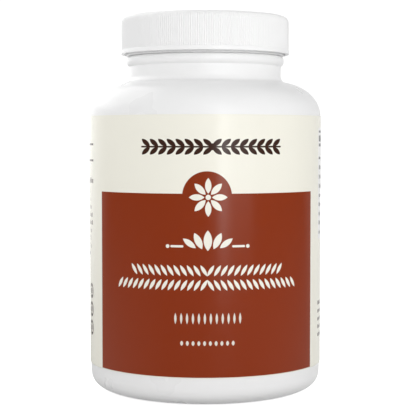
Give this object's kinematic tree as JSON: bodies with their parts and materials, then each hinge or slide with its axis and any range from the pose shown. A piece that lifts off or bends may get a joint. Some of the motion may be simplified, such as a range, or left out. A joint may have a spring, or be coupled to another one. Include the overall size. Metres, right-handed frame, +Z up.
{
  "type": "supplement bottle",
  "caption": "Wide-mouth white plastic supplement bottle with a ribbed screw cap, a sealing disc inside it and a printed wrap-around label.",
  "frame": {"origin": "centre of the standing ring at the bottle's bottom, on the surface that it stands on", "axes": "+Z up along the bottle's axis, the front of the label faces -Y, +X is on the right seen from the front"},
  "size_m": [0.065, 0.065, 0.1044],
  "materials": {
    "bottle_plastic": "satin blow-moulded polyethylene",
    "cap_plastic": "satin moulded polypropylene",
    "liner_foam": "soft pressed foam",
    "label_film": "semi-gloss printed film, cream with a rust-red panel"
  },
  "bodies": {
    "bottle_body": {"bottle": "bottle_plastic", "label": "label_film"},
    "cap_lift": {"cap_liner": "liner_foam"},
    "cap_body": {"cap": "cap_plastic"}
  },
  "joints": [
    {"name": "cap_rise", "type": "slide", "parent": "bottle_body", "child": "cap_lift", "axis": [0, 0, 1], "range_m": [0, 0.00423]},
    {"name": "cap_turn", "type": "hinge", "parent": "cap_lift", "child": "cap_body", "pos_m": [0, 0, 0.099], "axis": [0, 0, 1], "range_deg": [0, 360]}
  ],
  "couplings": [
    {"joint": "cap_turn", "follows": "cap_rise", "rad_per_m": 1484.2}
  ]
}
